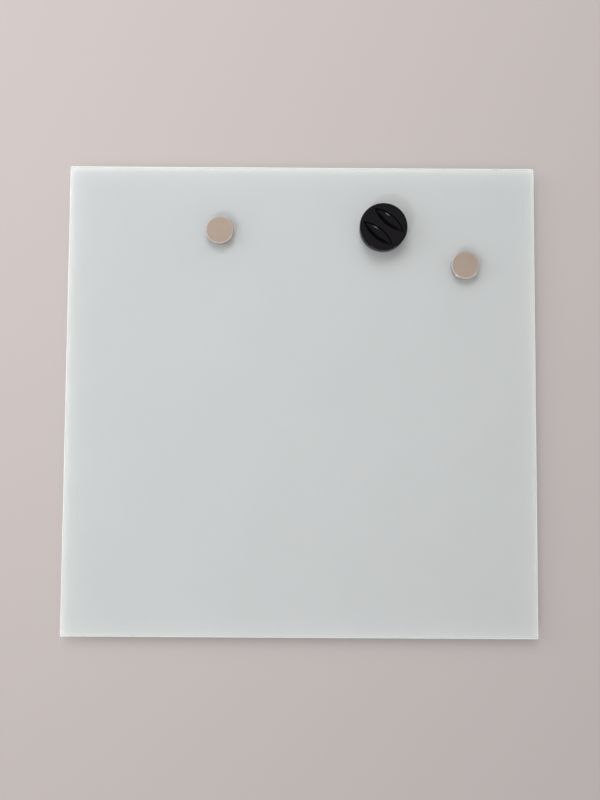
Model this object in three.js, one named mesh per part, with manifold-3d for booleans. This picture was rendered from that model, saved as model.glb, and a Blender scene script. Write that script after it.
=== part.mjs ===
// A square magnetic glass memo board, lying face up as it does when it is laid down,
// with two flat disc magnets and one round grip magnet on its face.
//
// Millimetres. +Z points out of the glass face, +Y to the edge that hangs uppermost,
// +X to the right of someone who looks at the face. The origin is the middle of the
// board, on the plane that its rubber bumpers touch.

import * as THREE from 'three';
import { mergeVertices } from 'three/addons/utils/BufferGeometryUtils.js';
import Module from 'manifold-3d';

// The glass
const boardWidth = 500;
const boardHeight = 500;
const glassThickness = 4;
const glassCornerRadius = 1.5;
const glassArris = 0.6;

// The white coat on the back of the glass, held back a little from the edges
const coatThickness = 0.25;
const coatEdgeMargin = 0.8;

// Strips of double-sided foam tape between the coat and the steel sheet
const tapeCount = 6;
const tapeWidth = 20;
const tapeThickness = 0.8;
const tapeEndMargin = 12;
const tapeSideMargin = 7.5;

// The steel sheet that the magnets pull on
const sheetThickness = 0.6;
const sheetMargin = 20;
const sheetCornerRadius = 8;

// Keyhole hangers, pressed from steel strip into a low hat section
const hangerThickness = 1;
const hangerLength = 44;
const hangerHeight = 34;
const hangerFaceWidth = 22;
const hangerStandoff = 5.2;
const hangerBendRadius = 0.6;
const hangerCornerRadius = 3;
const hangerFromSheetEdge = 50;
const keyholeEntryRadius = 5;
const keyholeSlotWidth = 5;
const keyholeTravel = 12;

// Rivets through the feet of a hanger and the sheet
const rivetShankRadius = 1.6;
const rivetHeadRadius = 3;
const rivetHeadHeight = 0.9;
const rivetSetRadius = 2.4;
const rivetSetHeight = 0.4;
const rivetHoleClearance = 0.15;

// Rubber bumpers, which hold the hangers just clear of the wall
const bumperRadius = 7;
const bumperTaper = 0.8;
const bumperEdgeRadius = 0.8;
const bumperInset = 15;
const hangerWallGap = 0.8;

// Disc magnets: a nickel-plated steel cup over a magnet core
const discRadius = 15;
const discHeight = 2.6;
const discRimRadius = 0.6;
const discWall = 1;
const discCoreClearance = 0.15;
const discCoreRecess = 0.3;

// The grip magnet: a moulded puck with two finger scoops beside a waisted bar.
// The scoops' reach and offsets are measured along the bar and out from its middle.
const gripRadius = 25.4;
const gripHeight = 8.2;
const gripRimRadius = 0.9;
const gripFloorGap = 0.2;
const gripPadRadius = 22;
const gripPadThickness = 0.6;
const gripMagnetRadius = 14;
const gripMagnetThickness = 2;
const gripPlateThickness = 0.6;
const gripSeatClearance = 0.15;
const scoopDepth = 3.8;
const scoopTipReach = 20;
const scoopTipOffset = 9.2;
const scoopBarOffset = 3.4;
const scoopRimOffset = 15.4;
const scoopFloorInset = 3.6;
const gripTurn = THREE.MathUtils.degToRad(-39.4);

// Where the magnets sit, measured from the edges of the glass
const leftDiscFromLeft = 162;
const leftDiscFromTop = 69.5;
const rightDiscFromRight = 75;
const rightDiscFromTop = 106;
const gripFromRight = 163;
const gripFromTop = 66.6;

// The film of glue between bonded faces, and the play between faces that only touch
const glueLine = 0.05;
const seatGap = 0.05;

// How far a cutter runs past the face that it cuts
const overrun = 1;

// How finely round forms are divided
const roundSegments = 56;
const smallSegments = 12;
const scoopSegments = 72;
const bendSteps = 3;
const scoopSteps = 5;
const quarterTurn = Math.PI / 2;

const finishes = {
  glass: finish(0xd5dfdb, 0.05, 0),
  coat: finish(0xe6ebe8, 0.6, 0),
  tape: finish(0xd9d9d2, 0.9, 0),
  sheet: finish(0xa9adb0, 0.45, 0.9),
  hanger: finish(0xb4b6b8, 0.4, 0.9),
  rivet: finish(0xc3c5c6, 0.35, 0.9),
  bumper: finish(0x2b2b2c, 0.85, 0),
  nickel: finish(0xb4a59b, 0.3, 0.95),
  core: finish(0x58595b, 0.5, 0.7),
  grip: finish(0x0c0d0f, 0.12, 0),
  plate: finish(0xa2a5a8, 0.4, 0.9),
  pad: finish(0x1d1e20, 0.95, 0),
};

const board = new THREE.Group();
const wasm = await Module();
wasm.setup();

function finish(color, roughness, metalness) {
  return new THREE.MeshStandardMaterial({ color, roughness, metalness });
}

function addPiece(parent, name, geometry, finishName, { x = 0, y = 0, z = 0 } = {}) {
  const mesh = new THREE.Mesh(geometry, finishes[finishName].clone());
  mesh.name = name;
  mesh.position.set(x, y, z);
  parent.add(mesh);
}

// Points of an arc of an ellipse about a centre
function curve(centreX, centreY, reachX, reachY, from, to, steps = bendSteps) {
  return Array.from({ length: steps + 1 }, (_, step) => {
    const angle = from + ((to - from) * step) / steps;
    return [centreX + reachX * Math.cos(angle), centreY + reachY * Math.sin(angle)];
  });
}

function outline(points) {
  return new THREE.Shape(points.map(([x, y]) => new THREE.Vector2(x, y)));
}

function roundedRectangle(width, height, radius) {
  const x = width / 2 - radius;
  const y = height / 2 - radius;
  return outline([
    ...curve(x, -y, radius, radius, -quarterTurn, 0),
    ...curve(x, y, radius, radius, 0, quarterTurn),
    ...curve(-x, y, radius, radius, quarterTurn, 2 * quarterTurn),
    ...curve(-x, -y, radius, radius, 2 * quarterTurn, 3 * quarterTurn),
  ]);
}

function circle(x, y, radius, segments = smallSegments) {
  return curve(x, y, radius, radius, 0, 4 * quarterTurn, segments).slice(1);
}

// A flat plate from z = 0 up
function plate(shape, thickness) {
  return new THREE.ExtrudeGeometry(shape, { depth: thickness, bevelEnabled: false });
}

// A solid of revolution about Z. The profile runs from the axis at the bottom, along
// the outside, to the axis at the top, as pairs of radius and height.
function turned(profile, segments = roundSegments) {
  const points = profile.map(([radius, height]) => new THREE.Vector2(radius, height));
  return new THREE.LatheGeometry(points, segments).rotateX(quarterTurn);
}

function disc(radius, bottom, top) {
  return turned([[0, bottom], [radius, bottom], [radius, top], [0, top]]);
}

// A closed mesh as a solid that can be cut and joined
function solid(geometry) {
  geometry.deleteAttribute('normal');
  geometry.deleteAttribute('uv');
  const merged = mergeVertices(geometry);
  const index = Array.from(merged.index.array);
  const triangles = [];
  for (let first = 0; first < index.length; first += 3) {
    const corners = index.slice(first, first + 3);
    if (new Set(corners).size === corners.length) {
      triangles.push(...corners);
    }
  }
  const vertProperties = new Float32Array(merged.attributes.position.array);
  const triVerts = new Uint32Array(triangles);
  return new wasm.Manifold(new wasm.Mesh({ numProp: 3, vertProperties, triVerts }));
}

function surface(body) {
  const mesh = body.getMesh();
  const geometry = new THREE.BufferGeometry();
  geometry.setAttribute('position', new THREE.BufferAttribute(mesh.vertProperties, 3));
  geometry.setIndex(new THREE.BufferAttribute(mesh.triVerts, 1));
  return geometry;
}

// Heights of the layers, from the plane of the bumpers up to the face of the glass
const bumperHeight = hangerStandoff + hangerWallGap;
const sheetBack = bumperHeight + glueLine;
const hangerTop = sheetBack - seatGap;
const tapeBack = sheetBack + sheetThickness + glueLine;
const coatBack = tapeBack + tapeThickness + glueLine;
const glassBack = coatBack + coatThickness + glueLine;
const magnetSeat = glassBack + glassThickness + seatGap;

// The steel sheet, and where the tapes, hangers, rivets and bumpers stand on it
const sheetWidth = boardWidth - 2 * sheetMargin;
const sheetHeight = boardHeight - 2 * sheetMargin;
const tapeSpan = sheetWidth - 2 * tapeSideMargin - tapeWidth;
const tapePitch = tapeSpan / (tapeCount - 1);
const hangerX = (tapeSpan - tapePitch) / 2;
const hangerY = sheetHeight / 2 - hangerFromSheetEdge;
const rivetX = (hangerFaceWidth + hangerLength) / 4;
const rivetHoleRadius = rivetShankRadius + rivetHoleClearance;
const boardCorners = [
  { name: 'top_left', sideX: -1, sideY: 1 },
  { name: 'top_right', sideX: 1, sideY: 1 },
  { name: 'bottom_left', sideX: -1, sideY: -1 },
  { name: 'bottom_right', sideX: 1, sideY: -1 },
];

// Toughened clear glass with its sharp edges ground off
function glassPanel() {
  const blank = roundedRectangle(boardWidth, boardHeight, glassCornerRadius);
  const sheetOfGlass = new THREE.ExtrudeGeometry(blank, {
    depth: glassThickness - 2 * glassArris,
    bevelThickness: glassArris,
    bevelSize: glassArris,
    bevelOffset: -glassArris,
    bevelSegments: 1,
  });
  addPiece(board, 'glass_panel', sheetOfGlass, 'glass', { z: glassBack + glassArris });
}

function backCoat() {
  const width = boardWidth - 2 * coatEdgeMargin;
  const height = boardHeight - 2 * coatEdgeMargin;
  const film = plate(roundedRectangle(width, height, glassCornerRadius), coatThickness);
  addPiece(board, 'white_back_coat', film, 'coat', { z: coatBack });
}

// Upright strips, spread evenly over the width of the sheet
function bondingTapes() {
  const length = sheetHeight - 2 * tapeEndMargin;
  for (let number = 0; number < tapeCount; number += 1) {
    const strip = new THREE.BoxGeometry(tapeWidth, length, tapeThickness);
    const place = { x: number * tapePitch - tapeSpan / 2, z: tapeBack + tapeThickness / 2 };
    addPiece(board, `bonding_tape_${number + 1}`, strip, 'tape', place);
  }
}

function steelSheet() {
  const blank = roundedRectangle(sheetWidth, sheetHeight, sheetCornerRadius);
  for (const { sideX, sideY } of boardCorners) {
    for (const foot of [-1, 1]) {
      const x = sideX * hangerX + foot * rivetX;
      blank.holes.push(outline(circle(x, sideY * hangerY, rivetHoleRadius)));
    }
  }
  addPiece(board, 'steel_back_sheet', plate(blank, sheetThickness), 'sheet', { z: sheetBack });
}

// Half of a hanger's hat section, with z = 0 at the tops of its feet: along the
// outside of the raised face to the end of a foot, then back along the inside
function hatHalf() {
  const face = hangerFaceWidth / 2;
  const end = hangerLength / 2;
  const inner = hangerBendRadius;
  const outer = inner + hangerThickness;
  const faceBend = [face - outer, outer - hangerStandoff];
  const footBend = [face + inner, -outer];
  return [
    ...curve(...faceBend, outer, outer, -quarterTurn, 0),
    ...curve(...footBend, inner, inner, 2 * quarterTurn, quarterTurn),
    [end, -hangerThickness],
    [end, 0],
    ...curve(...footBend, outer, outer, quarterTurn, 2 * quarterTurn),
    ...curve(...faceBend, inner, inner, 0, -quarterTurn),
  ];
}

// A cutter through the whole depth of a hanger
function hangerCutter(shape) {
  const depth = hangerStandoff + 2 * overrun;
  return solid(plate(shape, depth).translate(0, 0, -hangerStandoff - overrun));
}

function hangerShape() {
  const half = hatHalf();
  const mirrored = half.map(([x, y]) => [-x, y]).reverse();
  const strip = plate(outline([...half, ...mirrored]), hangerHeight);
  const slot = roundedRectangle(
    keyholeSlotWidth,
    keyholeTravel + keyholeSlotWidth,
    keyholeSlotWidth / 2,
  );
  const entry = outline(circle(0, -keyholeTravel / 2, keyholeEntryRadius, 2 * smallSegments));
  const blank = roundedRectangle(hangerLength, hangerHeight, hangerCornerRadius);
  let body = solid(strip.rotateX(quarterTurn).translate(0, hangerHeight / 2, 0));
  body = body.intersect(hangerCutter(blank));
  body = body.subtract(hangerCutter(slot));
  body = body.subtract(hangerCutter(entry));
  for (const foot of [-1, 1]) {
    body = body.subtract(hangerCutter(outline(circle(foot * rivetX, 0, rivetHoleRadius))));
  }
  return surface(body);
}

// A domed head below the foot, a shank through foot and sheet, and a flat set end
function rivetShape() {
  const grip = hangerThickness + sheetThickness + 3 * seatGap;
  return turned([
    ...curve(0, 0, rivetHeadRadius, rivetHeadHeight, -quarterTurn, 0),
    [rivetShankRadius, 0],
    [rivetShankRadius, grip],
    [rivetSetRadius, grip],
    [rivetSetRadius, grip + rivetSetHeight],
    [0, grip + rivetSetHeight],
  ], smallSegments);
}

function hangersAndRivets() {
  for (const { name, sideX, sideY } of boardCorners) {
    const x = sideX * hangerX;
    const y = sideY * hangerY;
    addPiece(board, `hanger_${name}`, hangerShape(), 'hanger', { x, y, z: hangerTop });
    const z = hangerTop - hangerThickness - seatGap;
    for (const [side, foot] of [['left', -1], ['right', 1]]) {
      const place = { x: x + foot * rivetX, y, z };
      addPiece(board, `hanger_rivet_${name}_${side}`, rivetShape(), 'rivet', place);
    }
  }
}

function bumpers() {
  const foot = bumperRadius - bumperTaper;
  const edge = bumperEdgeRadius;
  const profile = [
    [0, 0],
    ...curve(foot - edge, edge, edge, edge, -quarterTurn, 0),
    [bumperRadius, bumperHeight],
    [0, bumperHeight],
  ];
  for (const { name, sideX, sideY } of boardCorners) {
    const x = sideX * (sheetWidth / 2 - bumperInset);
    const y = sideY * (sheetHeight / 2 - bumperInset);
    addPiece(board, `wall_bumper_${name}`, turned(profile, 2 * smallSegments), 'bumper', { x, y });
  }
}

// A cup whose flat face has a rounded rim, closed below by its magnet core
function discMagnet(name, x, y) {
  const magnet = new THREE.Group();
  magnet.position.set(x, y, magnetSeat);
  board.add(magnet);
  const bore = discRadius - discWall;
  const ceiling = discHeight - discWall;
  const rim = discRimRadius;
  const cup = turned([
    [0, ceiling],
    [bore, ceiling],
    [bore, 0],
    [discRadius, 0],
    ...curve(discRadius - rim, discHeight - rim, rim, rim, 0, quarterTurn),
    [0, discHeight],
  ]);
  addPiece(magnet, `${name}_cup`, cup, 'nickel');
  const core = disc(bore - discCoreClearance, discCoreRecess, ceiling - glueLine);
  addPiece(magnet, `${name}_core`, core, 'core');
}

// Radius of the arc that spans two tips and rises between them
function arcRadius(halfSpan, rise) {
  return (halfSpan * halfSpan + rise * rise) / (2 * rise);
}

// A round bowl with a flat floor and hollow sides, whose mouth is at the grip's top
function bowl(radius, centreY) {
  const floorRadius = radius - scoopFloorInset;
  const profile = [
    [0, -scoopDepth],
    ...curve(floorRadius, 0, scoopFloorInset, scoopDepth, -quarterTurn, 0, scoopSteps),
    [radius, overrun],
    [0, overrun],
  ];
  return solid(turned(profile, scoopSegments).translate(0, centreY, gripHeight));
}

// Where two bowls overlap is one leaf-shaped scoop, on the far side of the bar
function fingerScoop() {
  const barArc = arcRadius(scoopTipReach, scoopTipOffset - scoopBarOffset);
  const rimArc = arcRadius(scoopTipReach, scoopRimOffset - scoopTipOffset);
  return bowl(barArc, scoopBarOffset + barArc).intersect(bowl(rimArc, scoopRimOffset - rimArc));
}

function gripMagnet(x, y) {
  const magnet = new THREE.Group();
  magnet.position.set(x, y, magnetSeat);
  board.add(magnet);
  const magnetBottom = gripPadThickness + glueLine;
  const plateBottom = magnetBottom + gripMagnetThickness + glueLine;
  const pocketTop = plateBottom + gripPlateThickness + glueLine;
  const pocket = gripMagnetRadius + gripSeatClearance;
  const recess = gripPadRadius + gripSeatClearance;
  const rim = gripRimRadius;
  const puck = turned([
    [0, pocketTop],
    [pocket, pocketTop],
    [pocket, magnetBottom],
    [recess, magnetBottom],
    [recess, gripFloorGap],
    [gripRadius, gripFloorGap],
    ...curve(gripRadius - rim, gripHeight - rim, rim, rim, 0, quarterTurn),
    [0, gripHeight],
  ]);
  const scoop = fingerScoop();
  const halfTurn = [0, 0, THREE.MathUtils.radToDeg(2 * quarterTurn)];
  const body = solid(puck).subtract(scoop).subtract(scoop.rotate(halfTurn));
  addPiece(magnet, 'grip_magnet_body', surface(body).rotateZ(gripTurn), 'grip');
  const block = disc(gripMagnetRadius, magnetBottom, plateBottom - glueLine);
  addPiece(magnet, 'grip_magnet_core', block, 'core');
  const keeper = disc(gripMagnetRadius, plateBottom, plateBottom + gripPlateThickness);
  addPiece(magnet, 'grip_magnet_steel_plate', keeper, 'plate');
  addPiece(magnet, 'grip_magnet_pad', disc(gripPadRadius, 0, gripPadThickness), 'pad');
}

glassPanel();
backCoat();
bondingTapes();
steelSheet();
hangersAndRivets();
bumpers();

const left = -boardWidth / 2;
const right = boardWidth / 2;
const top = boardHeight / 2;
discMagnet('disc_magnet_left', left + leftDiscFromLeft, top - leftDiscFromTop);
discMagnet('disc_magnet_right', right - rightDiscFromRight, top - rightDiscFromTop);
gripMagnet(right - gripFromRight, top - gripFromTop);

export default board;
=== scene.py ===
# %% [markdown]
# # The looks of a magnetic glass memo board
# The imported CAD part comes in first and is never moved or changed. It says where everything is and
# how big it is, and the pieces below are made round it in the same metres, so nothing is fitted by
# The box that each part fills is read here, and the pieces below are sized from it.

# %% Load the imported part
import math

import bmesh
import bpy
from mathutils import Matrix, Vector


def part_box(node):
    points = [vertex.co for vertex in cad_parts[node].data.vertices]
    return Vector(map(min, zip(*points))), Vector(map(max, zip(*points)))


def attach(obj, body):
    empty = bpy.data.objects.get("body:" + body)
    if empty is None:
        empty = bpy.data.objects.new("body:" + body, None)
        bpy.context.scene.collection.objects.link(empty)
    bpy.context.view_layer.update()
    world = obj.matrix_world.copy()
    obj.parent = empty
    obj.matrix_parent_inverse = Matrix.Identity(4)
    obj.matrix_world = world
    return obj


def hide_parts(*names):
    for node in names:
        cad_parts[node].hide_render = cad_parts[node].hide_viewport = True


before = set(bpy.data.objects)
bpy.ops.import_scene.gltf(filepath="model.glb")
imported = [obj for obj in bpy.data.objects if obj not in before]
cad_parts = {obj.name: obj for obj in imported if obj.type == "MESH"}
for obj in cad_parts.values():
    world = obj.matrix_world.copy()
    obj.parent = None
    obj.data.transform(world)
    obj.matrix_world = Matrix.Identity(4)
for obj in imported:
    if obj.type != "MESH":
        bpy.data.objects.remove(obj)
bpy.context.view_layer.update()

MM = 0.001
scene = bpy.context.scene

# %% [markdown]
# ## The camera
# The board is seen from nearly straight above, with the wide lens of a pocket camera. The board is
# square, so the four corners of its image are enough to work out where such a camera stands. The
# place, the turn and the lens below were worked out from those corners.

# %% Place the camera
CAMERA_PLACE = (-0.0012, -0.0288, 0.64915)
CAMERA_TURN = (2.475, -0.057, 0.356)
CAMERA_LENS = 27.045
CAMERA_SENSOR = 36

camera = bpy.data.objects.new("camera", bpy.data.cameras.new("camera"))
camera.location = CAMERA_PLACE
camera.rotation_euler = [math.radians(turn) for turn in CAMERA_TURN]
camera.data.lens = CAMERA_LENS
camera.data.sensor_width = CAMERA_SENSOR
camera.data.clip_start = 10 * MM
scene.collection.objects.link(camera)
scene.camera = camera
scene.view_settings.view_transform = "Standard"
print("camera is", round(camera.location.z, 3), "m above the floor")

# %% [markdown]
# ## Colour and nodes
# A hex colour is written as the screen shows it, but a shader works with linear light, so one
# function turns one into the other. One more function adds any node with its settings, its values
# and its links, which keeps each material readable as a short list. Patterns are set out in real
# millimetres: a texture's scale is how many of its features fit in one metre.

# %% Helpers for colours and nodes
def linear(hex_colour):
    """An sRGB hex colour as the linear colour that a shader takes."""
    channels = [int(hex_colour[first:first + 2], 16) / 255 for first in (0, 2, 4)]
    return (*(c / 12.92 if c <= 0.04045 else ((c + 0.055) / 1.055) ** 2.4 for c in channels), 1.0)


def per(millimetres):
    """The texture scale at which one feature is so many millimetres across."""
    return 1 / (millimetres * MM)


def node(tree, kind, inputs=(), **settings):
    """Adds a node. Each input is a value, or another node's output that is linked to it."""
    made = tree.nodes.new(kind)
    for name, value in settings.items():
        setattr(made, name, value)
    for name, value in dict(inputs).items():
        if isinstance(value, bpy.types.NodeSocket):
            tree.links.new(value, made.inputs[name])
        else:
            made.inputs[name].default_value = value
    return made


def spread(tree, pattern, low, high, reach=0.2):
    """Maps the middle of a noise pattern, within reach of a half, onto the range low to high."""
    return node(tree, "ShaderNodeMapRange",
                {0: pattern, 1: 0.5 - reach, 2: 0.5 + reach, 3: low, 4: high}).outputs[0]


def new_material(name):
    """A material with an empty tree, and the object coordinates that its patterns are laid on."""
    made = bpy.data.materials.new(name)
    made.use_nodes = True
    made.node_tree.nodes.clear()
    place = node(made.node_tree, "ShaderNodeTexCoord").outputs["Object"]
    return made, made.node_tree, place


def finish_material(made, shader):
    node(made.node_tree, "ShaderNodeOutputMaterial", {"Surface": shader.outputs[0]})
    print("material:", made.name)
    return made


print("mid grey 808080 is", round(linear("808080")[0], 3), "in linear light")

# %% [markdown]
# ## Floor and light
# The board lies on a plain pale floor, just below its rubber bumpers. Three soft lamps light it. The
# main one stands beyond the top edge of the board. The window lamp stands low at the left, and makes
# the left edge of the glass glow. A small one at the lower left draws the highlights in the scoops of
# the grip. Together they let the tones fall off to the lower right, as in the photo. The lamps are
# hidden from the camera and from rays that leave through glass, because the glass lets their light
# through in another way, and it must not be counted twice. A narrower spread keeps their light off
# the floor below them.
#
# The world gives the floor even light from all round. What the camera, a mirror or a pane sees of it
# is a pale backdrop. Through the pane, this backdrop is also the even part of the light on the white
# coat, and it is weaker there, so that the shadows round the magnets stay as dark as in the photo.
# Mirror rays see it a little differently. The two large lamps would show in the glass as hard
# white discs, so these rays miss them and find a soft glow at the upper left instead. Far to the
# upper right they find it dim, as a room is away from its window, so that hollow and rounded
# surfaces have something dark to mirror. Close to the skyline the backdrop is plain for them too,
# so the glass stays light when it is seen almost edge-on.

# %% Make the stage
FLOOR_SIDE = 9
FLOOR_DROP = 0.05 * MM
FLOOR_TONE = "c8bfbd"
FLOOR_ROUGHNESS = 0.9
FLOOR_SHINE = 0.2
BACKDROP_TONE = "c8bfbd"
WORLD_LIGHT = 0.5
BACKDROP_STRENGTH = 1.0
BACKDROP_THROUGH_PANE = 0.65
MIRROR_GLOW = {"side": (-0.6, 0.8, 0), "start": 0.32, "end": 0.75, "strength": 1.8}
MIRROR_DIM = {"side": (0.64, 0.77, 0), "start": 0.38, "end": 0.62, "strength": 0.06}
SKYLINE_LOW = 0.14
SKYLINE_HIGH = 0.26
LAMP_SPREAD = math.radians(120)
LAMPS = {
    "window_light": {"place": (-1.3, 0.35, 0.6), "size": 1.0, "power": 3.5, "in_mirrors": False},
    "upper_light": {"place": (-0.2, 1.5, 1.2), "size": 1.4, "power": 7.8, "in_mirrors": False},
    "corner_light": {"place": (-1.0, -1.45, 1.4), "size": 0.4, "power": 3.4, "in_mirrors": True},
}

floor_shape = bmesh.new()
bmesh.ops.create_grid(floor_shape, x_segments=1, y_segments=1, size=FLOOR_SIDE / 2)
bmesh.ops.translate(floor_shape, verts=floor_shape.verts, vec=(0, 0, -FLOOR_DROP))
floor = bpy.data.objects.new("floor", bpy.data.meshes.new("floor"))
floor_shape.to_mesh(floor.data)
scene.collection.objects.link(floor)

floor_paint, tree, place = new_material("plain_matt_floor")
matt = node(tree, "ShaderNodeBsdfPrincipled", {
    "Base Color": linear(FLOOR_TONE), "Roughness": FLOOR_ROUGHNESS, "Specular IOR Level": FLOOR_SHINE})
floor.data.materials.append(finish_material(floor_paint, matt))

world = bpy.data.worlds.new("studio")
world.use_nodes = True
world.node_tree.nodes.clear()
scene.world = world
tree = world.node_tree
ray = node(tree, "ShaderNodeLightPath").outputs
seen = node(tree, "ShaderNodeMath", {0: ray["Is Camera Ray"], 1: ray["Is Glossy Ray"]},
            operation="ADD")
seen = node(tree, "ShaderNodeMath", {0: seen.outputs[0], 1: ray["Is Transmission Ray"]},
            operation="ADD", use_clamp=True)
light = node(tree, "ShaderNodeBackground", {"Color": linear("ffffff"), "Strength": WORLD_LIGHT})
direction = node(tree, "ShaderNodeTexCoord").outputs["Generated"]


def towards(side, start, end, strength):
    """One in most directions, and the given strength for rays that lean far to one side."""
    share = node(tree, "ShaderNodeVectorMath", {0: direction, 1: side}, operation="DOT_PRODUCT")
    return node(tree, "ShaderNodeMapRange",
                {0: share.outputs["Value"], 1: start, 2: end, 3: 1.0, 4: strength}).outputs[0]


in_mirror = node(tree, "ShaderNodeMath", {0: towards(**MIRROR_GLOW), 1: towards(**MIRROR_DIM)},
                 operation="MULTIPLY")
mirrored = node(tree, "ShaderNodeMath", {0: ray["Is Glossy Ray"], 1: ray["Is Transmission Ray"]},
                operation="SUBTRACT", use_clamp=True)
upwards = node(tree, "ShaderNodeSeparateXYZ", {0: direction}).outputs[2]
above_skyline = node(tree, "ShaderNodeMapRange",
                     {0: upwards, 1: SKYLINE_LOW, 2: SKYLINE_HIGH, 3: 0.0, 4: 1.0})
uneven = node(tree, "ShaderNodeMath", {0: mirrored.outputs[0], 1: above_skyline.outputs[0]},
              operation="MULTIPLY")
strength = node(tree, "ShaderNodeMix", {0: uneven.outputs[0], 2: 1.0, 3: in_mirror.outputs[0]})
through_pane = node(tree, "ShaderNodeMix",
                    {0: ray["Is Transmission Ray"], 2: BACKDROP_STRENGTH, 3: BACKDROP_THROUGH_PANE})
strength = node(tree, "ShaderNodeMath", {0: strength.outputs[0], 1: through_pane.outputs[0]},
                operation="MULTIPLY")
backdrop = node(tree, "ShaderNodeBackground",
                {"Color": linear(BACKDROP_TONE), "Strength": strength.outputs[0]})
both = node(tree, "ShaderNodeMixShader",
            {0: seen.outputs[0], 1: light.outputs[0], 2: backdrop.outputs[0]})
node(tree, "ShaderNodeOutputWorld", {"Surface": both.outputs[0]})

for name, lamp in LAMPS.items():
    made = bpy.data.objects.new(name, bpy.data.lights.new(name, "AREA"))
    made.data.shape = "DISK"
    made.data.size = lamp["size"]
    made.data.energy = lamp["power"]
    made.data.spread = LAMP_SPREAD
    made.location = lamp["place"]
    made.rotation_euler = (-Vector(lamp["place"])).to_track_quat("-Z", "Y").to_euler()
    made.visible_camera = False
    made.visible_transmission = False
    made.visible_glossy = lamp["in_mirrors"]
    scene.collection.objects.link(made)
    print(name, "is", round(made.location.length, 2), "m from the board")

# %% [markdown]
# ## Mesh helpers
# Nearly every form on this board is a stack of closed rings: a turned disc is circles, the glass is
# rounded squares, and a finger scoop is leaves. One function stretches a skin from ring to ring, and
# a ring of a single point closes the shape at its pole. The flat and rounded faces are then shaded
# with weighted normals, so that a wide flat face stays flat next to a narrow rounded edge.

# %% Helpers for meshes
def new_object(name, mesh):
    made = bpy.data.objects.new(name, mesh)
    scene.collection.objects.link(made)
    return made


def skin(shape, rings, material_index=0):
    """Closes the surface between each ring of points and the next, and returns the rings."""
    made = [[shape.verts.new(point) for point in ring] for ring in rings]
    for lower, upper in zip(made, made[1:]):
        for here in range(max(len(lower), len(upper))):
            there = here + 1
            corners = (lower[here % len(lower)], lower[there % len(lower)],
                       upper[there % len(upper)], upper[here % len(upper)])
            face = shape.faces.new(list(dict.fromkeys(corners)))
            face.material_index = material_index
    return made


def circle(radius, height, steps):
    """A ring about the upright axis. A radius of nothing gives the single point of a pole."""
    if radius == 0:
        return [Vector((0, 0, height))]
    turns = [2 * math.pi * step / steps for step in range(steps)]
    return [Vector((radius * math.cos(turn), radius * math.sin(turn), height)) for turn in turns]


def arc(centre, reach, start, end, steps=8):
    """Points of a quarter or other part of an ellipse, with its angles in degrees."""
    turns = [math.radians(start + (end - start) * step / steps) for step in range(steps + 1)]
    return [(centre[0] + reach[0] * math.cos(turn), centre[1] + reach[1] * math.sin(turn))
            for turn in turns]


def turned(profile, steps=96):
    """A turned solid. Its profile runs from the axis below, round the outside, to the axis above."""
    shape = bmesh.new()
    skin(shape, [circle(radius, height, steps) for radius, height in profile])
    return shape


def solid_object(name, shape, finish, centre=(0, 0, 0), crease=35):
    """Makes a shape into an object whose place is in its mesh and whose faces point outwards."""
    bmesh.ops.translate(shape, verts=shape.verts, vec=centre)
    bmesh.ops.recalc_face_normals(shape, faces=shape.faces)
    made = new_object(name, bpy.data.meshes.new(name))
    shape.to_mesh(made.data)
    shape.free()
    made.data.materials.append(finish)
    shade(made, crease)
    return made


def shade(made, crease=35):
    """Smooth shading, with a sharp edge wherever two faces meet at more than the crease angle."""
    made.data.shade_smooth()
    made.data.set_sharp_from_angle(angle=math.radians(crease))
    made.modifiers.new("even_normals", "WEIGHTED_NORMAL").keep_sharp = True


def dress(piece, body, slot, *nodes):
    """Lets a piece ride on a body and stand for the CAD nodes that it shows."""
    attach(piece, body)
    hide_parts(*nodes)
    print(piece.name, "stands for", len(nodes), "nodes,", len(piece.data.polygons), "faces")


def middle(node_name):
    """The middle of a CAD node, with its height at the node's lowest point."""
    low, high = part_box(node_name)
    return Vector(((low.x + high.x) / 2, (low.y + high.y) / 2, low.z))


print("a turned ring has", len(circle(1, 0, 96)), "points")

# %% [markdown]
# ## The glass
# The panel is clear float glass, 4 mm thick and toughened. Its faces are as smooth as the molten tin
# that it floated on, and its edges are ground, which takes off the sharp corner in a narrow sloping
# arris and leaves it frosted. A Translucent shader, mixed into the glass there, scatters the light
# that comes up from the coat, and makes the bright line round the board. Light is denser inside glass
# than outside, by up to the square of the index of refraction. A path tracer leaves that out when a
# frosted skin takes the light from inside, so the scatter's colour is raised by TRAPPED_LIGHT.
#
# A pane in a path tracer blocks the light of a lamp unless it is told not to. Light Path's Is Shadow
# Ray lets that light through a transparent shader, whose tint stands for what the pane keeps. The
# ground side lets nearly as much through, straight to the coat behind it, so the coat glows along the
# edges that face a lamp.

# %% Materials of the glass
GLASS_IOR = 1.52
FACE_TINT = "e8e9e9"
SIDE_TINT = "dde0df"
TRAPPED_LIGHT = 1.7


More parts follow.
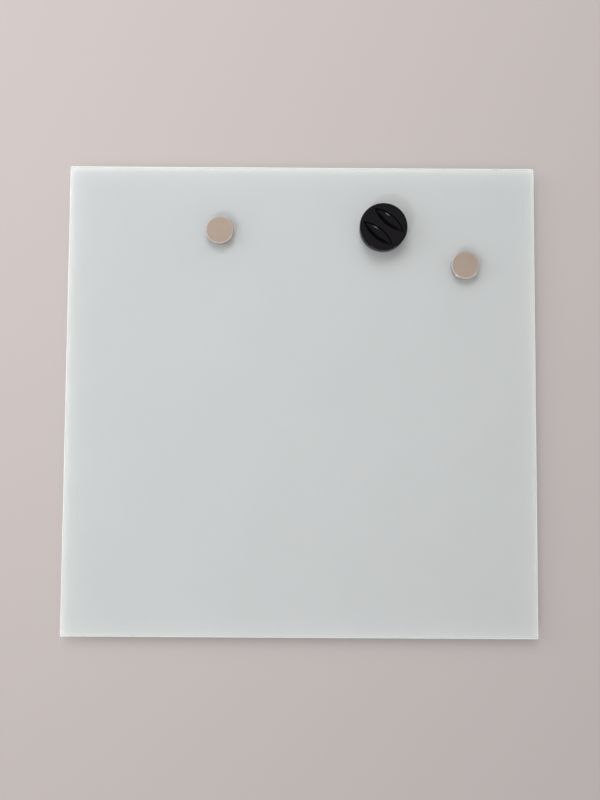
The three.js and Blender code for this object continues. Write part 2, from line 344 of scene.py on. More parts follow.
def glass_material(name, tone, shadow_tint, clear, frost, roughness, grain, bump_depth):
    """Glass whose roughness varies over a grain in millimetres. frost is the share it scatters."""
    made, tree, place = new_material(name)
    haze = node(tree, "ShaderNodeTexNoise", {"Vector": place, "Scale": per(grain), "Detail": 3.0})
    rough = spread(tree, haze.outputs[0], *roughness, reach=0.15)
    bump = node(tree, "ShaderNodeBump", {"Height": haze.outputs[0], "Distance": bump_depth * MM})
    glass = node(tree, "ShaderNodeBsdfPrincipled", {
        "Base Color": linear(tone), "Roughness": rough, "IOR": GLASS_IOR,
        "Transmission Weight": clear, "Normal": bump.outputs[0]})
    if frost:
        dense = [channel * TRAPPED_LIGHT for channel in linear(tone)[:3]]
        scatter = node(tree, "ShaderNodeBsdfTranslucent", {"Color": (*dense, 1.0)})
        glass = node(tree, "ShaderNodeMixShader",
                     {0: frost, 1: glass.outputs[0], 2: scatter.outputs[0]})
    lets_by = node(tree, "ShaderNodeBsdfTransparent", {"Color": linear(shadow_tint)})
    shadow = node(tree, "ShaderNodeLightPath").outputs["Is Shadow Ray"]
    both = node(tree, "ShaderNodeMixShader",
                {0: shadow, 1: glass.outputs[0], 2: lets_by.outputs[0]})
    return finish_material(made, both)


# Wiped by hand: the faintest haze, in patches a few centimetres wide
clear_float_glass = glass_material(
    "clear_float_glass", "fcfefd", FACE_TINT, clear=1.0, frost=0.0, roughness=(0.0, 0.02), grain=35,
    bump_depth=0.0)

# Ground with a fine wheel, then left matt
ground_glass_edge = glass_material(
    "ground_glass_edge", "f1f8f5", SIDE_TINT, clear=0.2, frost=0.5, roughness=(0.3, 0.5), grain=0.5,
    bump_depth=0.02)

# %% Build the glass panel
GLASS_CORNER_RADIUS = 1.5 * MM
SHARPEST_CORNER = 0.3 * MM
ARRIS_BACK = 0.6 * MM
ARRIS_FACE = 0.9 * MM
ARRIS_ROUND = 0.15 * MM
COAT_HOLD = 0.02 * MM
CORNER_STEPS = 6

glass_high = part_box("glass_panel")[1]
coat_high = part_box("white_back_coat")[1]


def rounded_square(inset, height):
    """A ring round the panel, so far in from its sides."""
    radius = max(GLASS_CORNER_RADIUS - inset, SHARPEST_CORNER)
    reach = glass_high.x - inset - radius
    points = []
    for quarter, (x, y) in enumerate(((1, 1), (-1, 1), (-1, -1), (1, -1))):
        corner = arc((x * reach, y * reach), (radius, radius), 90 * quarter, 90 * quarter + 90,
                     CORNER_STEPS)
        points += [Vector((*point, height)) for point in corner]
    return points


glass_bottom = coat_high.z - COAT_HOLD
glass_top = glass_high.z
glass_shape = bmesh.new()
edge_rings = skin(glass_shape, [rounded_square(inset, height) for inset, height in (
    (ARRIS_BACK, glass_bottom),
    (0, glass_bottom + ARRIS_BACK),
    (0, glass_top - ARRIS_FACE - ARRIS_ROUND),
    (ARRIS_ROUND / 3, glass_top - ARRIS_FACE),
    (ARRIS_FACE, glass_top - ARRIS_ROUND / 3),
    (ARRIS_FACE + ARRIS_ROUND, glass_top),
)], material_index=1)
glass_shape.faces.new(edge_rings[0])
glass_shape.faces.new(edge_rings[-1])
glass_panel = solid_object("glass_panel_looks", glass_shape, clear_float_glass, crease=25)
glass_panel.data.materials.append(ground_glass_edge)
dress(glass_panel, "board", "clear_glass", "glass_panel")

# %% [markdown]
# ## The white coat
# The white lies behind the glass, as enamel that was rolled on and baked. Seen through 4 mm of glass
# it turns faintly green. The roller leaves broad, very soft clouds, and a few specks of dust were
# caught under the glass. The glass holds the coat's face, so there is no air between them and the
# coat has no shine of its own.

# %% Material of the coat
ROLLER_CLOUD = 110
DUST_SPACING = 220
SPECK_RADIUS = 0.3
SPECK_FADE = 0.7


def enamel_coat():
    made, tree, place = new_material("white_roller_coated_enamel")
    cloud = node(tree, "ShaderNodeTexNoise",
                 {"Vector": place, "Scale": per(ROLLER_CLOUD), "Detail": 2.0})
    tone = node(tree, "ShaderNodeMix",
                {0: cloud.outputs[0], 6: linear("e2e5e6"), 7: linear("e6e9ea")}, data_type="RGBA")
    dust = node(tree, "ShaderNodeTexVoronoi", {"Vector": place, "Scale": per(DUST_SPACING)},
                voronoi_dimensions="2D")
    speck = node(tree, "ShaderNodeMapRange", {
        0: dust.outputs["Distance"], 1: SPECK_RADIUS / DUST_SPACING, 2: SPECK_FADE / DUST_SPACING,
        3: 1.0, 4: 0.0})
    colour = node(tree, "ShaderNodeMix",
                  {0: speck.outputs[0], 6: tone.outputs[2], 7: linear("b9bbba")}, data_type="RGBA")
    shader = node(tree, "ShaderNodeBsdfPrincipled", {
        "Base Color": colour.outputs[2], "Roughness": 0.6, "Specular IOR Level": 0.0})
    return finish_material(made, shader)


def paint(finish, *nodes):
    """Gives CAD nodes whose shape is right a finish of their own."""
    for name in nodes:
        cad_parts[name].material_slots[0].material = finish


paint(enamel_coat(), "white_back_coat")

# %% [markdown]
# ## Plain finishes
# Seven of the finishes share one recipe: two close tones that cloud into each other over a few
# millimetres, and a finer grain that changes the roughness and lifts the surface a little. What makes
# each one itself is its size of cloud and grain, and the way that its grain is drawn out. So one
# function takes those sizes, and each material below is a list of sizes typical for its stuff.

# %% Materials of the plain pieces
def plain_finish(name, tones, cloud, grain, roughness, bump_depth, metallic=0.0, drawn=(1, 1, 1)):
    """Clouds of two tones over a grain, both in millimetres. drawn stretches the grain."""
    made, tree, place = new_material(name)
    stretch = node(tree, "ShaderNodeMapping",
                   {"Vector": place, "Scale": [1 / way for way in drawn]})
    clouds = node(tree, "ShaderNodeTexNoise", {"Vector": place, "Scale": per(cloud), "Detail": 2.0})
    grains = node(tree, "ShaderNodeTexNoise",
                  {"Vector": stretch.outputs[0], "Scale": per(grain), "Detail": 4.0})
    colour = node(tree, "ShaderNodeMix",
                  {0: clouds.outputs[0], 6: linear(tones[0]), 7: linear(tones[1])},
                  data_type="RGBA")
    bump = node(tree, "ShaderNodeBump", {"Height": grains.outputs[0], "Distance": bump_depth * MM})
    shader = node(tree, "ShaderNodeBsdfPrincipled", {
        "Base Color": colour.outputs[2], "Roughness": spread(tree, grains.outputs[0], *roughness),
        "Metallic": metallic, "Normal": bump.outputs[0]})
    return finish_material(made, shader)


# Closed-cell polyethylene foam, cut through its cells at the sides
foam_tape = plain_finish("polyethylene_foam_tape", ("dcdcd5", "e4e4de"), 6, 0.4, (0.85, 0.95), 0.05)

# Strip steel, pressed and then zinc plated: the rolling marks run along the strip
pressed_steel = plain_finish("zinc_plated_pressed_steel", ("aeb1b3", "bfc1c2"), 7, 0.35,
                             (0.26, 0.42), 0.004, metallic=1.0, drawn=(8, 1, 1))

# Soft aluminium with the dull dimpling of the rivet set
rivet_aluminium = plain_finish("set_rivet_aluminium", ("c2c5c7", "cfd1d2"), 3, 0.5, (0.3, 0.48),
                               0.01, metallic=1.0)

# Moulded rubber, with the bloom that greys it a little
bumper_rubber = plain_finish("moulded_rubber", ("262627", "323233"), 5, 0.3, (0.7, 0.9), 0.03)

# Sintered magnet: fine dark grains under a thin grey plating
magnet_core = plain_finish("sintered_magnet", ("515254", "606265"), 2, 0.25, (0.4, 0.6), 0.01,
                           metallic=0.7)

# Bright rolled steel, which only shows where the grip is cut open
keeper_steel = plain_finish("rolled_keeper_steel", ("9fa2a5", "aaadb0"), 8, 0.4, (0.3, 0.45), 0.004,
                            metallic=1.0, drawn=(6, 1, 1))

# Fine-celled foam that keeps the grip from scratching the glass
foam_pad = plain_finish("closed_cell_foam_pad", ("1a1b1d", "232426"), 3, 0.3, (0.88, 0.98), 0.05)

paint(keeper_steel, "grip_magnet_steel_plate")

# %% [markdown]
# ## The steel sheet
# Magnets need steel to pull on, and it sits behind the coat. Hot-dip galvanised sheet is the usual
# choice, and its zinc freezes in flat crystals 8 to 15 mm wide, each of which shines its own way. A
# Voronoi texture gives the crystals, and each cell's random colour picks its tone and roughness.

# %% Material of the steel sheet
ZINC_CRYSTAL = 11


def galvanised_sheet():
    made, tree, place = new_material("galvanised_sheet_steel")
    crystal = node(tree, "ShaderNodeTexVoronoi", {"Vector": place, "Scale": per(ZINC_CRYSTAL)},
                   voronoi_dimensions="2D")
    pick = node(tree, "ShaderNodeSeparateColor", {"Color": crystal.outputs["Color"]})
    colour = node(tree, "ShaderNodeMix",
                  {0: pick.outputs[0], 6: linear("9da1a4"), 7: linear("b9bcbe")}, data_type="RGBA")
    rough = node(tree, "ShaderNodeMapRange", {0: pick.outputs[1], 3: 0.3, 4: 0.5})
    frost = node(tree, "ShaderNodeTexNoise", {"Vector": place, "Scale": per(0.6), "Detail": 4.0})
    bump = node(tree, "ShaderNodeBump", {"Height": frost.outputs[0], "Distance": 0.004 * MM})
    shader = node(tree, "ShaderNodeBsdfPrincipled", {
        "Base Color": colour.outputs[2], "Roughness": rough.outputs[0], "Metallic": 1.0,
        "Normal": bump.outputs[0]})
    return finish_material(made, shader)


paint(galvanised_sheet(), "steel_back_sheet")

# %% [markdown]
# ## Pieces that repeat: one Geometry Nodes tree
# Behind the board sit four bumpers, four hangers, eight rivets and six strips of tape. Each kind is
# one shape that stands on several points, so it is modelled once and a Geometry Nodes tree puts a
# copy on each point. Size stretches the copies, Widest Turn gives each a random turn about its
# upright axis, as a rivet or a moulded foot is never lined up, and Seed fixes which turn. The tree
# ends in Realize Instances and Set Material, and its result is turned into a plain mesh.

# %% Build the tree that stands copies on points
def stand_on_points_tree():
    tree = bpy.data.node_groups.new("stand_on_points", "GeometryNodeTree")
    for name, kind in (("Points", "Geometry"), ("Shape", "Object"), ("Size", "Vector"),
                       ("Widest Turn", "Float"), ("Seed", "Int"), ("Finish", "Material")):
        tree.interface.new_socket(name, in_out="INPUT", socket_type="NodeSocket" + kind)
    tree.interface.new_socket("Pieces", in_out="OUTPUT", socket_type="NodeSocketGeometry")
    given = node(tree, "NodeGroupInput").outputs
    shape = node(tree, "GeometryNodeObjectInfo", {"Object": given["Shape"]})
    turn = node(tree, "FunctionNodeRandomValue",
                {2: 0.0, 3: given["Widest Turn"], "Seed": given["Seed"]}, data_type="FLOAT")
    about_z = node(tree, "ShaderNodeCombineXYZ", {"Z": turn.outputs[1]})
    copies = node(tree, "GeometryNodeInstanceOnPoints", {
        "Points": given["Points"], "Instance": shape.outputs["Geometry"],
        "Rotation": about_z.outputs[0], "Scale": given["Size"]})
    real = node(tree, "GeometryNodeRealizeInstances", {"Geometry": copies.outputs[0]})
    painted = node(tree, "GeometryNodeSetMaterial",
                   {"Geometry": real.outputs[0], "Material": given["Finish"]})
    node(tree, "NodeGroupOutput", {"Pieces": painted.outputs[0]})
    return tree


stand_tree = stand_on_points_tree()


def stand_on_points(name, shape, nodes, finish, size=(1, 1, 1), widest_turn=0.0, seed=1, lift=0.0):
    """Puts a copy of the shape at the foot of each CAD node, as one plain mesh."""
    pieces = new_object(name, bpy.data.meshes.new(name))
    places = [middle(node_name) + Vector((0, 0, lift)) for node_name in nodes]
    pieces.data.from_pydata(places, [], [])
    step = pieces.modifiers.new("stand_on_points", "NODES")
    step.node_group = stand_tree
    values = {"Shape": shape, "Size": size, "Widest Turn": widest_turn, "Seed": seed,
              "Finish": finish}
    for socket in stand_tree.interface.items_tree:
        if socket.name in values:
            step[socket.identifier] = values[socket.name]
    made = pieces.evaluated_get(bpy.context.evaluated_depsgraph_get())
    mesh = bpy.data.meshes.new_from_object(made)
    pieces.modifiers.clear()
    pieces.data = mesh
    bpy.data.objects.remove(shape)
    shade(pieces)
    return pieces


print("sockets of the tree:", [socket.name for socket in stand_tree.interface.items_tree])

# %% [markdown]
# ## Rubber bumpers
# Four moulded rubber feet hold the hangers clear of the wall. A foot is a low cone with a rounded
# rim. It is turned at a radius and height of one, and the tree's Size gives it its millimetres, which
# are read from the CAD node.

# %% Stand the bumpers
BUMPER_RADIUS = 7
BUMPER_HEIGHT = 6
BUMPER_FOOT = 6.2
BUMPER_EDGE = 0.8
BUMPER_TOP_EDGE = 0.3
FULL_TURN = 2 * math.pi

corners = ("top_left", "top_right", "bottom_left", "bottom_right")
bumper_nodes = ["wall_bumper_" + corner for corner in corners]
bumper_profile = [
    (0, 0),
    *arc((BUMPER_FOOT - BUMPER_EDGE, BUMPER_EDGE), (BUMPER_EDGE, BUMPER_EDGE), -90, 0, 6),
    *arc((BUMPER_RADIUS - BUMPER_TOP_EDGE, BUMPER_HEIGHT - BUMPER_TOP_EDGE),
         (BUMPER_TOP_EDGE, BUMPER_TOP_EDGE), 0, 90, 3),
    (0, BUMPER_HEIGHT),
]
unit_bumper = turned([(radius / BUMPER_RADIUS, height / BUMPER_HEIGHT)
                      for radius, height in bumper_profile], steps=48)
low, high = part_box(bumper_nodes[0])
bumpers = stand_on_points(
    "wall_bumpers", solid_object("bumper_shape", unit_bumper, bumper_rubber), bumper_nodes,
    bumper_rubber, size=((high.x - low.x) / 2, (high.x - low.x) / 2, high.z - low.z),
    widest_turn=FULL_TURN, seed=3)
dress(bumpers, "board", "bumper_rubber", *bumper_nodes)

# %% [markdown]
# ## Rivets
# Each hanger is held by two rivets: a low dome below, a shank through foot and sheet, and an end that
# was spread flat on the far side.

# %% Stand the rivets
HEAD_RADIUS = 3
HEAD_HEIGHT = 0.9
SHANK_RADIUS = 1.6
SET_RADIUS = 2.4
SET_HEIGHT = 0.4
SET_EDGE = 0.12

rivet_nodes = [f"hanger_rivet_{corner}_{side}" for corner in corners for side in ("left", "right")]
low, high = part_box(rivet_nodes[0])
rivet_length = (high.z - low.z) / MM
set_start = rivet_length - SET_HEIGHT
rivet_profile = [
    (0, 0),
    *arc((0, HEAD_HEIGHT), (HEAD_RADIUS, HEAD_HEIGHT), -90, 0, 8)[1:],
    (SHANK_RADIUS, HEAD_HEIGHT),
    (SHANK_RADIUS, set_start),
    (SET_RADIUS, set_start),
    *arc((SET_RADIUS - SET_EDGE, rivet_length - SET_EDGE), (SET_EDGE, SET_EDGE), 0, 90, 3),
    (0, rivet_length),
]
unit_rivet = turned([(radius / HEAD_RADIUS, height / rivet_length)
                     for radius, height in rivet_profile], steps=32)
rivets = stand_on_points(
    "hanger_rivets", solid_object("rivet_shape", unit_rivet, rivet_aluminium), rivet_nodes,
    rivet_aluminium, size=(HEAD_RADIUS * MM, HEAD_RADIUS * MM, high.z - low.z),
    widest_turn=FULL_TURN, seed=8)
dress(rivets, "board", "rivet_aluminium", *rivet_nodes)

# %% [markdown]
# ## Keyhole hangers
# A hanger is one strip of steel pressed into a low hat: two feet on the sheet, two upright webs and a
# raised face with a keyhole. Bending a finished flat plate keeps its holes round, so the strip is
# drawn as the surface half way through the steel: two feet and a face as flat outlines with their
# holes, joined by strips that follow the bends. Solidify then gives it its millimetre of thickness to
# both sides, and Bevel takes off the sharp edges of the cut.

# %% Shape one hanger
STEEL = 1.0
HANGER_LENGTH = 44
HANGER_HEIGHT = 34
FACE_WIDTH = 22
STANDOFF = 5.2
INSIDE_BEND = 0.6
FOOT_CORNER = 3
KEYHOLE_RADIUS = 5
KEYHOLE_SLOT = 2.5
KEYHOLE_TRAVEL = 12
RIVET_HOLE = 1.75
RIVET_HOLE_STEPS = 24
RIVET_REACH = (FACE_WIDTH + HANGER_LENGTH) / 4
BURR_BEVEL = 0.12
CUT_EDGE_ANGLE = math.radians(50)
WELD_DISTANCE = 0.01

bend = INSIDE_BEND + STEEL / 2
face_height = STANDOFF - STEEL / 2
face_flat = FACE_WIDTH / 2 - INSIDE_BEND - STEEL
foot_flat = FACE_WIDTH / 2 + INSIDE_BEND


def flat_with_hole(shape, outline, hole, height):
    """A flat face, in millimetres, with one hole in it."""
    edges = []
    for loop in (outline, hole):
        points = [shape.verts.new((x * MM, y * MM, height * MM)) for x, y in loop]
        edges += [shape.edges.new(pair) for pair in zip(points, points[1:] + points[:1])]
    bmesh.ops.triangle_fill(shape, use_beauty=True, edges=edges)


def keyhole():
    """A round entry below a slot, which the head of a screw passes before it slides up."""
    entry = -KEYHOLE_TRAVEL / 2
    mouth = math.degrees(math.acos(KEYHOLE_SLOT / KEYHOLE_RADIUS))
    return (arc((0, entry), (KEYHOLE_RADIUS, KEYHOLE_RADIUS), 180 - mouth, 360 + mouth, 36)
            + arc((0, -entry), (KEYHOLE_SLOT, KEYHOLE_SLOT), 0, 180, 16))


def hanger_shape():
    shape = bmesh.new()
    half = HANGER_HEIGHT / 2
    face = [(face_flat, -half), (face_flat, half), (-face_flat, half), (-face_flat, -half)]
    flat_with_hole(shape, face, keyhole(), -face_height)
    inner = half - FOOT_CORNER
    outer = HANGER_LENGTH / 2 - FOOT_CORNER
    foot = [(foot_flat, -half), *arc((outer, -inner), (FOOT_CORNER, FOOT_CORNER), -90, 0),
            *arc((outer, inner), (FOOT_CORNER, FOOT_CORNER), 0, 90), (foot_flat, half)]
    rivet_hole = arc((RIVET_REACH, 0), (RIVET_HOLE, RIVET_HOLE), 0, 360 - 360 / RIVET_HOLE_STEPS,
                     RIVET_HOLE_STEPS - 1)
    path = (arc((face_flat, bend - face_height), (bend, bend), -90, 0)
            + arc((foot_flat, -bend - STEEL / 2), (bend, bend), 180, 90))
    for side in (-1, 1):
        flat_with_hole(shape, [(side * x, y) for x, y in foot],
                       [(side * x, y) for x, y in rivet_hole], -STEEL / 2)
        rows = [[shape.verts.new((side * x * MM, y * MM, z * MM)) for x, z in path]
                for y in (-half, half)]
        for near, far in zip(zip(*rows), list(zip(*rows))[1:]):
            shape.faces.new((near[0], near[1], far[1], far[0]))
    bmesh.ops.remove_doubles(shape, verts=shape.verts, dist=WELD_DISTANCE * MM)
    made = solid_object("hanger_shape", shape, pressed_steel)
    made.modifiers.clear()
    thick = made.modifiers.new("steel_thickness", "SOLIDIFY")
    thick.thickness = STEEL * MM
    thick.offset = 0
    thick.use_even_offset = True
    soften = made.modifiers.new("burr_bevel", "BEVEL")
    soften.width = BURR_BEVEL * MM
    soften.segments = 2
    soften.limit_method = "ANGLE"
    soften.angle_limit = CUT_EDGE_ANGLE
    return made


hanger_nodes = ["hanger_" + corner for corner in corners]
low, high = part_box(hanger_nodes[0])
hangers = stand_on_points("keyhole_hangers", hanger_shape(), hanger_nodes, pressed_steel,
                          lift=high.z - low.z)
dress(hangers, "board", "pressed_steel", *hanger_nodes)

# %% [markdown]
# ## Bonding tapes
# Six strips of double-sided foam tape hold the steel to the coated glass. Pressed foam bulges at its
# sides, so a strip is a stack of rings with the middle ones a little wider. Only the ends and sides
# of the strips can be seen, in the gap round the sheet.

# %% Stand the tapes
TAPE_COUNT = 6
TAPE_SQUEEZE = 0.985
TAPE_LEVELS = 6

tape_nodes = [f"bonding_tape_{number + 1}" for number in range(TAPE_COUNT)]
low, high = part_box(tape_nodes[0])
tape_rings = []
for level in range(TAPE_LEVELS + 1):
    height = level / TAPE_LEVELS
    swell = TAPE_SQUEEZE + (1 - TAPE_SQUEEZE) * math.sin(math.pi * height)
    lengthways = 1 - (1 - swell) * (high.x - low.x) / (high.y - low.y)
    tape_rings.append([Vector((x * swell / 2, y * lengthways / 2, height))
                       for x, y in ((1, -1), (1, 1), (-1, 1), (-1, -1))])
tape_shape = bmesh.new()
tape_ends = skin(tape_shape, tape_rings)
tape_shape.faces.new(tape_ends[0])
tape_shape.faces.new(tape_ends[-1])
tape_strip = solid_object("tape_shape", tape_shape, foam_tape, crease=50)
tapes = stand_on_points("bonding_tapes", tape_strip, tape_nodes, foam_tape, size=high - low)
dress(tapes, "board", "foam_tape", *tape_nodes)

# %% [markdown]
# ## Disc magnets
# Each disc is a shallow cup of deep-drawn steel with a rounded rim, plated in nickel. Nickel is a
# slightly warm grey, and these were tumbled before plating, which leaves a satin skin of tiny random
# marks rather than a mirror. The rounded rim and a narrow band inside it get a finish of their own. It
# is a little smoother, as handling polishes an edge, and its much lighter colour is a painted
# highlight that shows as a thin bright ring. The upright wall gets a third finish, whose darker colour
# is painted shade, and draws a thin dark line where a disc meets the glass.

# %% Material of the disc magnets
def nickel_plate(name, dull, bright, roughness):
    made, tree, place = new_material(name)
    cloud = node(tree, "ShaderNodeTexNoise", {"Vector": place, "Scale": per(10), "Detail": 3.0})
    colour = node(tree, "ShaderNodeMix",
                  {0: cloud.outputs[0], 6: linear(dull), 7: linear(bright)}, data_type="RGBA")
    marks = node(tree, "ShaderNodeTexNoise", {"Vector": place, "Scale": per(0.4), "Detail": 5.0})
    bump = node(tree, "ShaderNodeBump", {"Height": marks.outputs[0], "Distance": 0.006 * MM})
    shader = node(tree, "ShaderNodeBsdfPrincipled", {
        "Base Color": colour.outputs[2], "Roughness": spread(tree, marks.outputs[0], *roughness),
        "Metallic": 1.0, "Normal": bump.outputs[0]})
    return finish_material(made, shader)


nickel = nickel_plate("satin_nickel_plate", "dbcebe", "e5d9cb", (0.16, 0.24))
# Painted highlight: a much lighter nickel for the rim band, which is also a little smoother
rim_painted_highlight = nickel_plate("nickel_rim_painted_highlight", "f6efe7", "fcf7f1", (0.12, 0.18))
# Painted shade: a darker nickel for the upright wall, for the dark line where a disc meets the glass
wall_painted_shade = nickel_plate("nickel_wall_painted_shade", "7d736a", "8a8076", (0.2, 0.3))

# %% Turn the disc magnets
CUP_RIM = 0.6 * MM
PAINTED_RIM_BAND = 1.3 * MM
CUP_WALL = 1.0 * MM
CUP_LIP = 0.15 * MM
CUP_STEPS = 128
FACES_UP = 0.02
CORE_EDGE = 0.25 * MM


def edged_disc(name, node_name, edge, finish, steps=96):
    """A plain disc that fills a CAD node, with its edges rounded off."""
    low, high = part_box(node_name)
    radius = (high.x - low.x) / 2
    thickness = high.z - low.z
    profile = [(0, 0), *arc((radius - edge, edge), (edge, edge), -90, 0, 4),
               *arc((radius - edge, thickness - edge), (edge, edge), 0, 90, 4), (0, thickness)]
    return solid_object(name, turned(profile, steps), finish, middle(node_name))


for body in ("disc_magnet_left", "disc_magnet_right"):
    low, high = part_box(body + "_cup")
    radius = (high.x - low.x) / 2
    height = high.z - low.z
    bore = radius - CUP_WALL
    ceiling = height - CUP_WALL
    cup_profile = [
        (0, ceiling),
        (bore, ceiling),
        (bore, CUP_LIP),
        *arc((bore + CUP_LIP, CUP_LIP), (CUP_LIP, CUP_LIP), 180, 270, 3),
        *arc((radius - CUP_LIP, CUP_LIP), (CUP_LIP, CUP_LIP), -90, 0, 3),
        *arc((radius - CUP_RIM, height - CUP_RIM), (CUP_RIM, CUP_RIM), 0, 90, 12),
        (radius - PAINTED_RIM_BAND, height),
        (0, height),
    ]
    cup = solid_object(body + "_cup_looks", turned(cup_profile, CUP_STEPS), nickel,
                       middle(body + "_cup"))
    cup.data.materials.append(rim_painted_highlight)
    cup.data.materials.append(wall_painted_shade)
    # Up-facing faces of the rim band get the painted highlight, the wall and the lip below it the
    # painted shade
    for face in cup.data.polygons:
        from_axis = (face.center - (low + high) / 2).xy.length
        if from_axis > radius - PAINTED_RIM_BAND:
            face.material_index = 1 if face.normal.z > FACES_UP else 2
    dress(cup, body, "nickel_plate", body + "_cup")
    core = edged_disc(body + "_core_looks", body + "_core", CORE_EDGE, magnet_core)
    dress(core, body, "magnet_core", body + "_core")

# %% [markdown]
# ## The grip magnet
# The puck is moulded in glossy black ABS, straight from a polished mould, so it is nearly a mirror
# with a few fine handling scratches. Two leaf-shaped scoops leave a waisted bar between them for a
# finger and thumb. Each leaf lies where two circles overlap, one that draws the bar's waist and one
# that follows the rim. Deeper in, both circles shrink along a quarter of an ellipse until the hollow
# wall runs out into a narrow flat floor. The rings of one scoop are leaves, and the second scoop is
# the first turned half way round.
#
# The Specular IOR Level is below its usual 0.5. Years of hands and board cleaner have dulled the skin
# a little, so the black stays as deep as in the photo while its highlights stay small and crisp.

# %% Material of the grip
ABS_IOR = 1.54
ABS_SHINE = 0.2
POLISHED = 0.07
SCRATCHED = 0.22
SCRATCH_START = 0.62
SCRATCH_FULL = 0.72
SCRATCH_TURN = 0.7
SCRATCH_STRETCH = 0.06


def black_abs():
    made, tree, place = new_material("glossy_black_moulded_abs")
    cloud = node(tree, "ShaderNodeTexNoise", {"Vector": place, "Scale": per(8), "Detail": 2.0})
    colour = node(tree, "ShaderNodeMix",
                  {0: cloud.outputs[0], 6: linear("06060a"), 7: linear("0b0b10")}, data_type="RGBA")
    drawn = node(tree, "ShaderNodeMapping",
                 {"Vector": place, "Rotation": (0, 0, SCRATCH_TURN), "Scale": (1, SCRATCH_STRETCH, 1)})
    lines = node(tree, "ShaderNodeTexNoise",
                 {"Vector": drawn.outputs[0], "Scale": per(0.5), "Detail": 2.0})
    scratch = node(tree, "ShaderNodeMapRange", {
        0: lines.outputs[0], 1: SCRATCH_START, 2: SCRATCH_FULL, 3: POLISHED, 4: SCRATCHED})
    skin_marks = node(tree, "ShaderNodeTexNoise",
                      {"Vector": place, "Scale": per(1.5), "Detail": 2.0})
    bump = node(tree, "ShaderNodeBump", {"Height": skin_marks.outputs[0], "Distance": 0.004 * MM})
    shader = node(tree, "ShaderNodeBsdfPrincipled", {
        "Base Color": colour.outputs[2], "Roughness": scratch.outputs[0], "IOR": ABS_IOR,
        "Specular IOR Level": ABS_SHINE, "Normal": bump.outputs[0]})
    return finish_material(made, shader)


grip_abs = black_abs()

# %% Shape the grip's body
GRIP_RIM = 0.9 * MM
GRIP_FOOT = 0.3 * MM
GRIP_STEPS = 144
SEAT_CLEARANCE = 0.15 * MM
GLUE_LINE = 0.05 * MM
SCOOP_DEPTH = 3.8 * MM
SCOOP_FLOOR_INSET = 5.6 * MM
SCOOP_MOUTH_EDGE = 0.35 * MM
SCOOP_TIP_REACH = 20.0 * MM
SCOOP_TIP_OFFSET = 9.2 * MM
SCOOP_BAR_OFFSET = 3.4 * MM
SCOOP_RIM_OFFSET = 15.4 * MM
SCOOP_POINTS = 40
SCOOP_LEVELS = 14
MOUTH_STEPS = 5
GRIP_TURN = math.radians(-39.4)


def arc_radius(half_span, rise):
    return (half_span ** 2 + rise ** 2) / (2 * rise)


bar_arc = arc_radius(SCOOP_TIP_REACH, SCOOP_TIP_OFFSET - SCOOP_BAR_OFFSET)
rim_arc = arc_radius(SCOOP_TIP_REACH, SCOOP_RIM_OFFSET - SCOOP_TIP_OFFSET)
bar_centre = SCOOP_BAR_OFFSET + bar_arc
rim_centre = SCOOP_RIM_OFFSET - rim_arc


def leaf(shrink, height, side):
    """The ring where both circles, made smaller by shrink, overlap, on one side of the bar."""
    bar = bar_arc - shrink
    rim = rim_arc - shrink
    apart = bar_centre - rim_centre
    across = (rim ** 2 - bar ** 2 + bar_centre ** 2 - rim_centre ** 2) / (2 * apart)
    reach = math.sqrt(bar ** 2 - (across - bar_centre) ** 2)
    points = []
    for step in range(SCOOP_POINTS):
        along = -reach * math.cos(math.pi * step / SCOOP_POINTS)
        points.append((along, bar_centre - math.sqrt(bar ** 2 - along ** 2)))
    for step in range(SCOOP_POINTS):
        along = reach * math.cos(math.pi * step / SCOOP_POINTS)
        points.append((along, rim_centre + math.sqrt(rim ** 2 - along ** 2)))
    turn = Matrix.Rotation(GRIP_TURN + (0 if side > 0 else math.pi), 3, "Z")
    return [turn @ Vector((x, y, height)) for x, y in points]


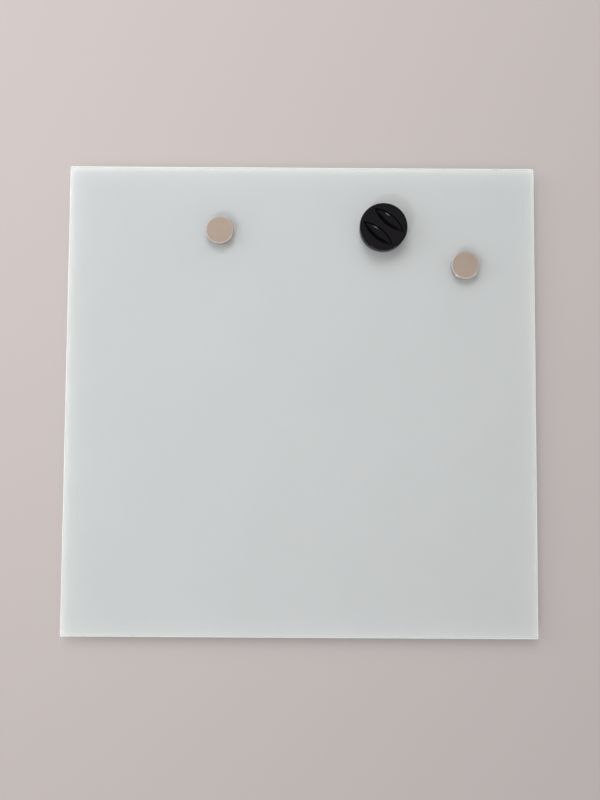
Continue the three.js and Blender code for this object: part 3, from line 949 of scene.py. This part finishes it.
def scoop_rings(top, side):
    """From the mouth's rounded edge down the hollow wall to the floor."""
    mouth = arc((0, 0), (SCOOP_MOUTH_EDGE, SCOOP_MOUTH_EDGE), 90, 0, MOUTH_STEPS)[:-1]
    rings = [leaf(shrink - SCOOP_MOUTH_EDGE, top + drop - SCOOP_MOUTH_EDGE, side)
             for shrink, drop in mouth]
    start = math.degrees(math.asin(SCOOP_MOUTH_EDGE / SCOOP_DEPTH))
    wall = arc((0, 0), (SCOOP_FLOOR_INSET, SCOOP_DEPTH), -start, -90, SCOOP_LEVELS)
    rings += [leaf(SCOOP_FLOOR_INSET - reach, top + drop, side) for reach, drop in wall]
    return rings


low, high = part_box("grip_magnet_body")
grip_radius = (high.x - low.x) / 2
grip_top = high.z - low.z
core_low, core_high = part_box("grip_magnet_core")
plate_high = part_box("grip_magnet_steel_plate")[1]
pad_low, pad_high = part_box("grip_magnet_pad")
pocket = (core_high.x - core_low.x) / 2 + SEAT_CLEARANCE
recess = (pad_high.x - pad_low.x) / 2 + SEAT_CLEARANCE
pocket_top = plate_high.z + GLUE_LINE - low.z
recess_top = core_low.z - low.z
grip_profile = [
    (0, pocket_top),
    (pocket, pocket_top),
    (pocket, recess_top),
    (recess, recess_top),
    (recess, 0),
    *arc((grip_radius - GRIP_FOOT, GRIP_FOOT), (GRIP_FOOT, GRIP_FOOT), -90, 0, 3),
    *arc((grip_radius - GRIP_RIM, grip_top - GRIP_RIM), (GRIP_RIM, GRIP_RIM), 0, 90, 12),
]
grip_shape = bmesh.new()
open_rings = [skin(grip_shape, [circle(radius, height, GRIP_STEPS)
                                for radius, height in grip_profile])[-1]]
for side in (1, -1):
    rings = skin(grip_shape, scoop_rings(grip_top, side))
    grip_shape.faces.new(rings[-1])
    open_rings.append(rings[0])
mouth_edges = [grip_shape.edges.get(pair) for ring in open_rings
               for pair in zip(ring, ring[1:] + ring[:1])]
bmesh.ops.triangle_fill(grip_shape, use_beauty=True, edges=mouth_edges)
grip_body = solid_object("grip_magnet_body_looks", grip_shape, grip_abs, middle("grip_magnet_body"),
                         crease=40)
dress(grip_body, "grip_magnet", "black_plastic", "grip_magnet_body")

# %% Fit the magnet and the pad below it
PAD_EDGE = 0.2 * MM

grip_core = edged_disc("grip_magnet_core_looks", "grip_magnet_core", CORE_EDGE, magnet_core)
dress(grip_core, "grip_magnet", "magnet_core", "grip_magnet_core")
grip_pad = edged_disc("grip_magnet_pad_looks", "grip_magnet_pad", PAD_EDGE, foam_pad)
dress(grip_pad, "grip_magnet", "foam_pad", "grip_magnet_pad")
